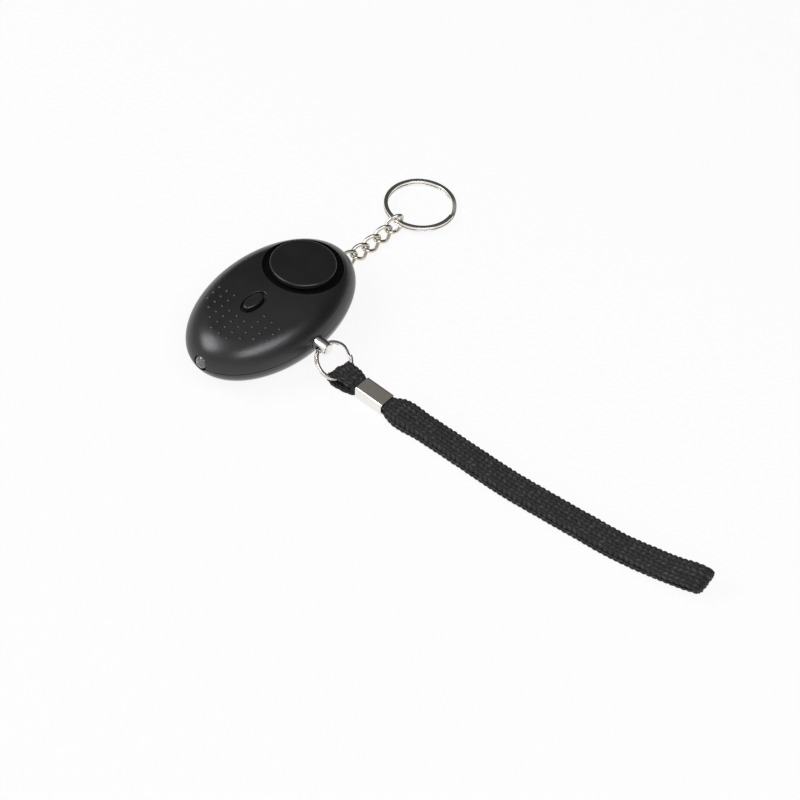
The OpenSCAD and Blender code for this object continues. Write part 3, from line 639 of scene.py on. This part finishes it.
class ALARM_OT_stage(bpy.types.Operator):
    """Pale floor, soft light and the camera of the picture"""

    bl_idname = "alarm.stage"
    bl_label = "Stage, light and camera"

    def execute(self, context):
        scene = context.scene
        scene.view_settings.view_transform = "Standard"
        self.camera(scene)
        self.floor(scene)
        self.world(scene)
        self.lamps(scene)
        return {"FINISHED"}

    def camera(self, scene):
        """Long lens that looks down on the part from its lamp end."""
        lens = bpy.data.cameras.new("picture_camera")
        lens.lens = LENS_MM
        lens.sensor_width = SENSOR_MM
        lens.clip_start = 0.05
        lens.clip_end = 20
        camera = bpy.data.objects.new("picture_camera", lens)
        scene.collection.objects.link(camera)
        side, down = math.radians(LOOK_FROM), math.radians(LOOK_DOWN)
        back = Vector(
            (
                math.sin(side) * math.cos(down),
                -math.cos(side) * math.cos(down),
                math.sin(down),
            )
        )
        camera.location = Vector(LOOK_AT) + back * LOOK_DISTANCE
        camera.rotation_mode = "QUATERNION"
        camera.rotation_quaternion = (-back).to_track_quat("-Z", "Y")
        scene.camera = camera

    def floor(self, scene):
        """White sheet that shows faint shadows and looks white in the plating."""
        made, tree, out = fresh_material("pale_studio_floor")
        rays = add(tree, "ShaderNodeLightPath").outputs
        seen = add(
            tree,
            "ShaderNodeMath",
            {0: rays["Is Camera Ray"], 1: rays["Is Glossy Ray"]},
            operation="MAXIMUM",
        )
        seen = add(
            tree,
            "ShaderNodeMath",
            {0: seen.outputs["Value"], 1: rays["Is Transmission Ray"]},
            operation="MAXIMUM",
        )
        # Most of the white is the sheet's own, and the rest takes the light, so that shadows show
        share = add(
            tree,
            "ShaderNodeMath",
            {0: seen.outputs["Value"], 1: FLOOR_WHITE},
            operation="MULTIPLY",
        )
        lit = add(tree, "ShaderNodeBsdfDiffuse", {"Color": linear("ececec")})
        white = add(tree, "ShaderNodeEmission", {"Color": linear("ffffff"), "Strength": 1.0})
        both = add(
            tree,
            "ShaderNodeMixShader",
            {
                0: share.outputs["Value"],
                1: lit.outputs["BSDF"],
                2: white.outputs["Emission"],
            },
        )
        tree.links.new(both.outputs["Shader"], out.inputs["Surface"])
        bm = bmesh.new()
        bmesh.ops.create_grid(bm, x_segments=1, y_segments=1, size=FLOOR_HALF)
        bmesh.ops.translate(bm, verts=bm.verts[:], vec=(0, 0, -FLOOR_DROP * MM))
        mesh = bpy.data.meshes.new("studio_floor")
        bm.to_mesh(mesh)
        bm.free()
        mesh.materials.append(made)
        sheet = bpy.data.objects.new("studio_floor", mesh)
        scene.collection.objects.link(sheet)

    def world(self, scene):
        """White behind the object for the camera; a pale near side and a dim far side light it."""
        sky = bpy.data.worlds.new("studio_room")
        scene.world = sky
        sky.use_nodes = True
        tree = sky.node_tree
        tree.nodes.clear()
        out = tree.nodes.new("ShaderNodeOutputWorld")
        rays = add(tree, "ShaderNodeLightPath").outputs
        way = add(
            tree, "ShaderNodeSeparateXYZ", {0: add(tree, "ShaderNodeTexCoord").outputs["Generated"]}
        ).outputs
        near = add(
            tree,
            "ShaderNodeValToRGB",
            {"Fac": way["Z"]},
            stops=[(0.0, "ffffff"), (1.0, "b4b4b6"), (0.25, "f2f2f4"), (0.55, "c0c0c2")],
        )
        far = add(
            tree,
            "ShaderNodeValToRGB",
            {"Fac": way["Z"]},
            stops=[
                (0.0, "5c5c5c"),
                (1.0, "b0b0b0"),
                (0.3, "444444"),
                (0.62, "4a4947"),
                (0.77, "716d69"),
            ],
        )
        share = add(
            tree,
            "ShaderNodeMapRange",
            {"Value": way["X"], "From Min": 0.5, "From Max": -0.7},
        )
        room = add(
            tree,
            "ShaderNodeMix",
            {0: share.outputs["Result"], 6: far.outputs["Color"], 7: near.outputs["Color"]},
            data_type="RGBA",
        )
        shade = add(
            tree,
            "ShaderNodeMix",
            {0: rays["Is Camera Ray"], 6: room.outputs[2], 7: linear("ffffff")},
            data_type="RGBA",
        )
        glow = add(tree, "ShaderNodeBackground", {"Color": shade.outputs[2], "Strength": 1.0})
        tree.links.new(glow.outputs["Background"], out.inputs["Surface"])

    def lamps(self, scene):
        """Two soft panels, turned toward the middle of the part."""
        aim = Vector(SOFTBOX_AIM)
        for name, turn, rise, width, depth, power, colour in SOFTBOXES:
            lamp = bpy.data.lights.new(name, "AREA")
            lamp.shape = "RECTANGLE"
            lamp.size = width
            lamp.size_y = depth
            lamp.energy = power
            lamp.color = linear(colour)[:3]
            holder = bpy.data.objects.new(name, lamp)
            scene.collection.objects.link(holder)
            turn, rise = math.radians(turn), math.radians(rise)
            way = Vector(
                (math.cos(turn) * math.cos(rise), math.sin(turn) * math.cos(rise), math.sin(rise))
            )
            holder.location = aim + way * SOFTBOX_REACH
            holder.rotation_mode = "QUATERNION"
            holder.rotation_quaternion = (-way).to_track_quat("-Z", "Y")


class ALARM_OT_strap(bpy.types.Operator):
    """Flat braided wrist strap, folded double, looped round the small ring and crimped in its ferrule"""

    bl_idname = "alarm.strap"
    bl_label = "Wrist strap"

    step = 0.25
    around = 70
    half_width = PLY_W / 2
    half_thick = PLY_T / 2
    # Slant of a stitch over the width of its column
    lean = 1.1
    # Width in the crimp, and how much wider the braid is where its stitches stand out fully
    crimped = 5.4
    freed = 1.2
    # Squareness of the section, flat along the strap and rounder at the ring
    flat_power = 0.55
    round_power = 0.85
    # The swelling and the bow begin here along y, and grow over these lengths
    swell_from = -40.0
    swell_over = 6.0
    bow_from = -38.5
    bow_over = 5.0
    # The loop follows a share of the small ring, tilted in degrees, and buckles
    ring_bow = 0.35
    ring_radius = 6.0
    ring_slope = 35
    bow_reach = 4.6
    buckle = 0.25
    buckle_pitch = 4.4

    def execute(self, context):
        ferrule = dressed("strap_ferrule", "nickel", "nickel_plate", 40)
        rows, at = even(spline(self.route(), 0.05), self.step)
        count = len(rows)
        bm = bmesh.new()
        bmesh.ops.create_grid(
            bm, x_segments=count - 1, y_segments=self.around, size=1.0
        )
        place = np.array([v.co[:] for v in bm.verts])
        along = np.rint((place[:, 0] + 1) / 2 * (count - 1)).astype(int)
        round_ = np.rint((place[:, 1] + 1) / 2 * self.around).astype(int)
        co, stitch, lay = self.surface(rows, at, along, round_)
        for vert, p in zip(bm.verts, co * MM):
            vert.co = p
        layer = bm.verts.layers.float.new("stitch")
        for vert, value in zip(bm.verts, stitch):
            vert[layer] = value
        uv = bm.loops.layers.uv.new("braid")
        bm.verts.index_update()
        for face in bm.faces:
            face.smooth = True
            for loop in face.loops:
                loop[uv].uv = lay[loop.vert.index]
        bmesh.ops.remove_doubles(bm, verts=bm.verts[:], dist=MERGE)
        ends = [edge for edge in bm.edges if len(edge.link_faces) == 1]
        bmesh.ops.holes_fill(bm, edges=ends, sides=0)
        bmesh.ops.recalc_face_normals(bm, faces=bm.faces[:])
        mesh = bpy.data.meshes.new("braided_strap")
        bm.to_mesh(mesh)
        bm.free()
        mesh.materials.append(finish("braid"))
        strap = bpy.data.objects.new("braided_strap", mesh)
        context.scene.collection.objects.link(strap)
        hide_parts("wrist_strap")
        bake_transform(strap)
        return {"FINISHED"}

    def route(self):
        """Rows of place, width and thickness from end to end of the strap."""
        wide = sizes().loop_width / MM
        loop = [
            (
                LOOP_X,
                RING_FAR[1] + LOOP_R * math.cos(turn),
                RING_FAR[2] + LOOP_R * math.sin(turn),
                wide,
                LOOP_T,
            )
            for turn in np.radians(np.linspace(110, -110, 11))
        ]
        lower = [(x, y, PLY_LOW, PLY_W, PLY_T) for x, y in STRAP_PLAN]
        fold = [(x, y, z, PLY_W, PLY_T) for x, y, z in STRAP_FOLD]
        upper = [
            (
                x,
                y,
                PLY_HIGH + LIFT * max(0.0, (LIFT_FROM - y) / (LIFT_FROM - LIFT_TO)) ** 2,
                PLY_W,
                PLY_T,
            )
            for x, y in reversed(STRAP_PLAN)
        ]
        rows = np.array(STRAP_IN + loop + STRAP_CRIMP + lower + fold + upper + STRAP_BACK)
        roll = self.roll(rows[:, 1])
        stack = rows[:, 2] - PLY_LOW
        rows[:, 0] -= stack * np.sin(roll)
        rows[:, 2] += stack * (np.cos(roll) - 1) + PLY_W / 2 * np.sin(roll)
        return rows

    def roll(self, y):
        """Turn of the strap about its length, which grows toward the fold."""
        share = np.clip((y - ROLL_FROM) / (ROLL_TO - ROLL_FROM), 0, 1)
        return np.radians(ROLL) * share * share * (3 - 2 * share)

    def section(self, power):
        """Points of the braid's section as shares of its width and thickness, evenly round its edge."""
        q = np.linspace(0, 2 * np.pi, 1441)
        x = np.sign(np.cos(q)) * np.abs(np.cos(q)) ** power
        y = np.sign(np.sin(q)) * np.abs(np.sin(q)) ** power
        steps = np.hypot(np.diff(x) * self.half_width, np.diff(y) * self.half_thick)
        reach = np.concatenate([[0], np.cumsum(steps)])
        spot = np.linspace(0, reach[-1], self.around + 1)
        return np.interp(spot, reach, x) / 2, np.interp(spot, reach, y) / 2, spot

    def surface(self, rows, at, along, round_):
        """Places, painted light and own shade of the stitches, and map of the braid's points, in
        millimetres.
        """
        line, wide, thick = rows[:, :3], rows[:, 3], rows[:, 4]
        tangent = np.gradient(line, axis=0)
        tangent /= np.linalg.norm(tangent, axis=1)[:, None]
        # Toward the ring the braid turns a little in plan and swells to a rounder section
        near = np.clip((line[:, 1] - self.swell_from) / self.swell_over, 0, 1)
        near = (near * near * (3 - 2 * near))[:, None]
        turn = np.radians(LOOP_TURN) * near[:, 0]
        roll = self.roll(line[:, 1])
        across = np.stack([np.cos(turn) * np.cos(roll), np.sin(turn), np.sin(roll)], axis=1)
        across -= (1 - near) * (across * tangent).sum(1)[:, None] * tangent
        across /= np.linalg.norm(across, axis=1)[:, None]
        up = np.cross(across, tangent)
        up /= np.linalg.norm(up, axis=1)[:, None]
        flat_x, flat_y, spot = self.section(self.flat_power)
        round_x, round_y, _ = self.section(self.round_power)
        swell = near[along, 0]
        sx = flat_x[round_] * (1 - swell) + round_x[round_] * swell
        sy = flat_y[round_] * (1 - swell) + round_y[round_] * swell
        girth = spot[-1]
        # Columns of slanted stitches that lean to and fro, so that neighbours meet as chevrons
        columns = int(round(girth / (sizes().braid_column / MM) / 2)) * 2
        column = np.minimum(spot[round_] / girth * columns, columns - 1e-6)
        number = np.floor(column)
        side = column - number - 0.5
        lean = np.where(number % 2 == 0, self.lean, -self.lean)
        phase = (at[along] + lean * side) / (sizes().braid_pitch / MM)
        part = phase - np.floor(phase) - 0.5
        stitch = np.sqrt(np.clip(1 - (2 * part) ** 2, 0, 1)) * np.clip(
            1 - (2 * side) ** 2, 0, 1
        ) ** 0.35
        # Each stitch has a shade and a height of its own
        yarn = np.abs(np.sin(number * 12.99 + np.floor(phase) * 78.23) * 437.58) % 1
        free = np.clip((wide[along] - self.crimped) / self.freed, 0.2, 1)
        relief = free * (sizes().braid_depth / MM * (stitch - 0.75) + 0.1 * (yarn - 0.5) * stitch)
        nx = np.abs(sx) ** 2.6 * np.sign(sx) / self.half_width
        ny = np.abs(sy) ** 2.6 * np.sign(sy) / self.half_thick
        size = np.hypot(nx, ny) + 1e-9
        px = sx * wide[along] + relief * nx / size
        py = sy * thick[along] + relief * ny / size
        place = line[along] + px[:, None] * across[along] + py[:, None] * up[along]
        # On the small ring the loop follows the curve of the wire a little, and buckles
        near = np.clip((place[:, 1] - self.bow_from) / self.bow_over, 0, 1)
        near = near * near * (3 - 2 * near)
        reach = np.clip(px, -self.bow_reach, self.bow_reach)
        bow = self.ring_radius - np.sqrt(self.ring_radius**2 - reach**2)
        bow = self.ring_bow * bow + self.buckle * np.cos(px * 2 * np.pi / self.buckle_pitch)
        slope = math.radians(self.ring_slope)
        place[:, 1] += near * bow * math.cos(slope)
        place[:, 2] += near * bow * math.sin(slope)
        lay = np.stack([at[along], spot[round_]], axis=1)
        # Height of each stitch times its own shade, which the colour turns into painted shade and painted
        # highlight
        return place, stitch * (0.6 + 0.6 * yarn), lay


class ALARM_OT_case(bpy.types.Operator):
    """Moulded shells, siren cap, torch button, case screws and rounded grip dots"""

    bl_idname = "alarm.case"
    bl_label = "Case"

    # Round of the recess edge, and how far beside and below the button that edge may lie
    lip_round = 0.22
    lip_room = 1.2
    lip_drop = 1.5
    # A wall of the siren pocket may stand this far past its radius
    wall_play = 0.05
    # Rays that find the crown start at this height
    above_all = 60

    def execute(self, context):
        for node in ("speaker_cap", "torch_button"):
            dressed(node, "abs", "black_abs")
        dressed("bottom_shell", "smooth_abs", "black_abs")
        crown = dressed("top_shell", "abs", "black_abs").data
        self.lip(crown)
        self.pocket(crown)
        dressed("case_screws", "zinc", "steel")
        self.dots()
        return {"FINISHED"}

    def lip(self, shell):
        """Small round on the edge where the crown turns down into the recess of the button."""
        low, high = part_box("torch_button")
        room = self.lip_room * MM
        bm = bmesh.new()
        bm.from_mesh(shell)
        edges = []
        for edge in bm.edges:
            middle = (edge.verts[0].co + edge.verts[1].co) / 2
            inside = all(low[i] - room < middle[i] < high[i] + room for i in (0, 1))
            if edge.smooth or not inside or len(edge.link_faces) != 2:
                continue
            rise = sorted(face.normal.z for face in edge.link_faces)
            if rise[0] < 0.4 and rise[1] > 0.8 and middle.z > high.z - self.lip_drop * MM:
                edges.append(edge)
        bmesh.ops.bevel(
            bm,
            geom=edges,
            offset=self.lip_round * MM,
            segments=3,
            profile=0.5,
            affect="EDGES",
            material=-1,
        )
        for face in bm.faces:
            face.smooth = True
        bm.to_mesh(shell)
        bm.free()

    def pocket(self, shell):
        """Near black, matt finish on the walls and floor of the siren pocket: painted shade of the deep
        slot.
        """
        shell.materials.append(finish("pocket_shade_abs"))
        low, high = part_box("speaker_cap")
        lean = math.radians(SIREN_LEAN)
        axis = Vector((math.sin(lean), 0, math.cos(lean)))
        middle = Vector(((low.x + high.x) / 2, 0, (low.z + high.z) / 2))
        for face in shell.polygons:
            way = Vector(face.center) - middle
            rise = way.dot(axis)
            out = (way - rise * axis).length
            inside = out < POCKET_R * MM and abs(rise) < POCKET_DEPTH * MM
            wall = out < (POCKET_R + self.wall_play) * MM and abs(face.normal.dot(axis)) < 0.3
            if inside or wall:
                face.material_index = 1

    def dots(self):
        """A rounded head on each moulded dot of the crown, so that it catches the light."""
        shell = bmesh.new()
        shell.from_mesh(frame["nodes"]["top_shell"].data)
        crown = BVHTree.FromBMesh(shell)
        half = sizes().dot_width / 2
        bm = bmesh.new()
        for i in range(DOT_COLUMNS):
            for j in range(-DOT_ROWS, DOT_ROWS + 1):
                if abs(j) > i + 1 or (i >= DOT_BUTTON_COLUMN and abs(j) < 2):
                    continue
                above = Vector((DOT_X + DOT_STEP[0] * i, DOT_STEP[1] * j, self.above_all)) * MM
                top, normal = crown.ray_cast(above, Vector((0, 0, -1)))[:2]
                if top is None:
                    raise RuntimeError("a grip dot misses the crown")
                turn = normal.to_track_quat("Z", "X").to_matrix().to_4x4()
                shape = Matrix.Diagonal((half, half, 0.8 * half, 1))
                foot = Matrix.Translation(top - normal * DOT_SINK * MM)
                bmesh.ops.create_uvsphere(
                    bm, u_segments=12, v_segments=8, radius=1, matrix=foot @ turn @ shape
                )
        for face in bm.faces:
            face.smooth = True
        mesh = bpy.data.meshes.new("grip_dots")
        bm.to_mesh(mesh)
        bm.free()
        shell.free()
        # The heads take the lighter, more reflective finish: painted highlight, so that each dot reads as
        # a bright speck
        new_piece("grip_dots", mesh, "dot_highlight_abs", "case", "black_abs")


class ALARM_OT_lamp(bpy.types.Operator):
    """Clear lamp with the lead frame and cup that show through it"""

    bl_idname = "alarm.lamp"
    bl_label = "Torch lamp"

    # Cup that holds the chip: radius, distance from the tip, then shifts and scales of its rings
    cup_radius = 0.8
    cup_at = 3.3
    cup_rings = ((0.0, 0.85), (0.45, 0.6), (0.0, 0.02))
    # Plates of the lead frame: y, z, distance from the tip, and size
    plates = (
        (0.0, -0.15, 3.75, (3.6, 1.5, 0.9)),
        (1.27, 0.0, 3.9, (3.6, 0.7, 0.55)),
        (-1.0, 0.0, 5.2, (2.3, 0.9, 0.55)),
    )
    # Only edges longer than this are rounded, which leaves out the cup
    round_over = 0.5
    edge_round = 0.06

    def execute(self, context):
        dressed("led_lens", "epoxy", "clear_lens", 50)
        low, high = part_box("led_lens")
        tip, middle = low.x, (low.z + high.z) / 2
        bm = bmesh.new()
        ring = bmesh.ops.create_circle(bm, segments=24, radius=self.cup_radius * MM)["verts"]
        bmesh.ops.rotate(bm, verts=ring, matrix=Matrix.Rotation(math.pi / 2, 3, "Y"))
        bmesh.ops.translate(bm, verts=ring, vec=(tip + self.cup_at * MM, 0, middle))
        loop = bm.edges[:]
        for shift, scale in self.cup_rings:
            grown = bmesh.ops.extrude_edge_only(bm, edges=loop)["geom"]
            verts = [g for g in grown if isinstance(g, bmesh.types.BMVert)]
            centre = sum((v.co for v in verts), Vector()) / len(verts)
            for v in verts:
                v.co = centre + (v.co - centre) * scale + Vector((shift * MM, 0, 0))
            loop = [g for g in grown if isinstance(g, bmesh.types.BMEdge)]
        for y, z, start, size in self.plates:
            cube = bmesh.ops.create_cube(bm, size=1.0)["verts"]
            bmesh.ops.scale(bm, verts=cube, vec=[s * MM for s in size])
            bmesh.ops.translate(
                bm,
                verts=cube,
                vec=(tip + (start + size[0] / 2) * MM, y * MM, middle + z * MM),
            )
        bmesh.ops.bevel(
            bm,
            geom=[e for e in bm.edges if e.calc_length() > self.round_over * MM],
            offset=self.edge_round * MM,
            segments=2,
            profile=0.5,
            affect="EDGES",
            material=-1,
        )
        bmesh.ops.recalc_face_normals(bm, faces=bm.faces[:])
        mesh = bpy.data.meshes.new("lamp_lead_frame")
        bm.to_mesh(mesh)
        bm.free()
        new_piece("lamp_lead_frame", mesh, "silver", "case", "steel")
        return {"FINISHED"}


class ALARM_OT_pin(bpy.types.Operator):
    """Turned pull pin"""

    bl_idname = "alarm.pin"
    bl_label = "Pull pin"

    def execute(self, context):
        dressed("pull_pin", "chrome", "nickel_plate", 25)
        return {"FINISHED"}


class ALARM_OT_rings(bpy.types.Operator):
    """Split rings of flat wire, with rounded edges"""

    bl_idname = "alarm.rings"
    bl_label = "Split rings"

    def execute(self, context):
        for node in ("pin_ring", "key_ring"):
            piece = new_piece(
                node + "_wire",
                solid_copy(node, 180, quads=True),
                "nickel",
                frame["nodes"][node]["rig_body"],
                "nickel_plate",
                node,
            )
            edge = piece.modifiers.new("edge", "BEVEL")
            edge.width = sizes().wire_round
            edge.segments = 3
            edge.limit_method = "ANGLE"
            edge.angle_limit = math.radians(40)
            even_shading(piece)
        return {"FINISHED"}


class ALARM_OT_chain(bpy.types.Operator):
    """Curb chain of twisted wire links"""

    bl_idname = "alarm.chain"
    bl_label = "Chain"

    links = 6
    # The wire is let out on its outer side by this much before it is subdivided, which draws it
    # in by a tenth. The first two links are not, so that they pitch clear of each other.
    let_out = 0.2
    let_out_from = 3

    def execute(self, context):
        for number in range(1, self.links + 1):
            node = f"chain_link_{number}"
            piece = new_piece(
                node + "_wire",
                solid_copy(node, 180, quads=True),
                "dull_nickel",
                frame["nodes"][node]["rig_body"],
                "nickel_plate",
                node,
            )
            if number >= self.let_out_from:
                grow = piece.modifiers.new("let_out", "DISPLACE")
                grow.strength = self.let_out * MM
                grow.mid_level = 0
                grow.vertex_group = self.outside(piece).name
            smooth = piece.modifiers.new("round", "SUBSURF")
            smooth.levels = smooth.render_levels = 2
        return {"FINISHED"}

    def outside(self, piece):
        """Weights of the wire's outer side; the crooks keep their room for the next link."""
        group = piece.vertex_groups.new(name="outside")
        verts = piece.data.vertices
        middle = sum((v.co for v in verts), Vector()) / len(verts)
        for v in verts:
            facing = v.normal.dot((v.co - middle).normalized())
            group.add([v.index], max(facing, 0.0), "REPLACE")
        return group


class ALARM_OT_inside(bpy.types.Operator):
    """Finishes of the pieces inside the case"""

    bl_idname = "alarm.inside"
    bl_label = "Inner pieces"

    inner = {
        "tact_switch": "phenolic",
        "tact_plunger": "phenolic",
        "led_leads": "silver",
        "circuit_board": "board",
        "board_screws": "zinc",
        "boost_coil_core": "ferrite",
        "boost_coil_winding": "copper",
        "driver_chip": "phenolic",
        "transistor": "phenolic",
        "piezo_diaphragm": "brass",
        "piezo_ceramic": "ceramic",
        "piezo_wires": "wire",
        "button_cell_1": "zinc",
        "button_cell_2": "zinc",
        "button_cell_3": "zinc",
        "cell_contact_plus": "zinc",
        "cell_contact_minus": "zinc",
        "pin_switch_block": "phenolic",
        "pin_switch_leaves": "brass",
        "anchor_pin": "zinc",
    }

    def execute(self, context):
        for node, name in self.inner.items():
            solid = frame["nodes"][node].data
            solid.materials.clear()
            solid.materials.append(finish(name))
        return {"FINISHED"}


OPERATORS = (
    ALARM_OT_stage,
    ALARM_OT_strap,
    ALARM_OT_case,
    ALARM_OT_lamp,
    ALARM_OT_pin,
    ALARM_OT_rings,
    ALARM_OT_chain,
    ALARM_OT_inside,
)


class ALARM_PT_panel(bpy.types.Panel):
    """Sizes, colours and steps of the alarm"""

    bl_idname = "ALARM_PT_panel"
    bl_label = "Personal safety alarm"
    bl_space_type = "VIEW_3D"
    bl_region_type = "UI"
    bl_category = "Alarm"

    def draw(self, context):
        for group in (context.scene.alarm_sizes, context.scene.alarm_colours):
            for name in group.__annotations__:
                self.layout.prop(group, name)
        for step in OPERATORS:
            self.layout.operator(step.bl_idname)


CLASSES = (AlarmSizes, AlarmColours, *OPERATORS, ALARM_PT_panel)


def register():
    for kind in CLASSES:
        bpy.utils.register_class(kind)
    bpy.types.Scene.alarm_sizes = bpy.props.PointerProperty(type=AlarmSizes)
    bpy.types.Scene.alarm_colours = bpy.props.PointerProperty(type=AlarmColours)


def unregister():
    del bpy.types.Scene.alarm_colours
    del bpy.types.Scene.alarm_sizes
    for kind in reversed(CLASSES):
        bpy.utils.unregister_class(kind)


def main():
    """Dresses the part step by step."""
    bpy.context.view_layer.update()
    register()
    for step in OPERATORS:
        group, name = step.bl_idname.split(".")
        getattr(getattr(bpy.ops, group), name)()


if __name__ == "__main__":
    main()
